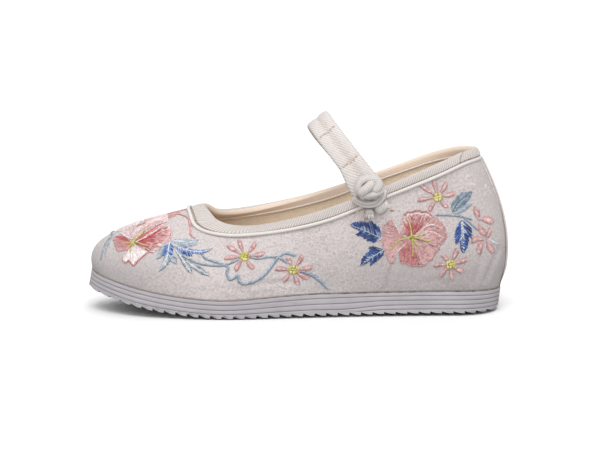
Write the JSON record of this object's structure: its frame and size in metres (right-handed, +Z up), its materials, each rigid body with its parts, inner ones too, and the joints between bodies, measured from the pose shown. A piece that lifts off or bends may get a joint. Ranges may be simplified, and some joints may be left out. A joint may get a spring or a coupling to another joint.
{
  "type": "embroidered cloth shoe",
  "caption": "Low cloth slip-on shoe for the left foot: hollow embroidered upper with bound collar, strap with loop and knotted button, on a layered foam sole with saw-tooth tread.",
  "frame": {"origin": "on the floor, at the middle of the bounding box's base", "axes": "+X from toe to heel, -Y to the foot's outer side with the button, +Z up"},
  "size_m": [0.2489, 0.0917, 0.1179],
  "materials": {
    "outsole": "matt moulded foam",
    "upper": "matt linen weave with embroidery",
    "insole": "woven cloth, matt",
    "collar_binding": "matt twill tape",
    "collar_piping": "woven cloth, matt",
    "heel_seam": "woven cloth, matt",
    "strap": "matt twill tape",
    "strap_loop": "matt twill cord",
    "knot_button": "matt twill cord",
    "knot_leg_lower": "matt twill cord",
    "knot_leg_rear": "matt twill cord"
  },
  "bodies": {
    "root": {"outsole": "outsole", "upper": "upper", "insole": "insole", "collar_binding": "collar_binding", "collar_piping": "collar_piping", "heel_seam": "heel_seam", "strap": "strap", "strap_loop": "strap_loop", "knot_button": "knot_button", "knot_leg_lower": "knot_leg_lower", "knot_leg_rear": "knot_leg_rear"}
  },
  "joints": []
}
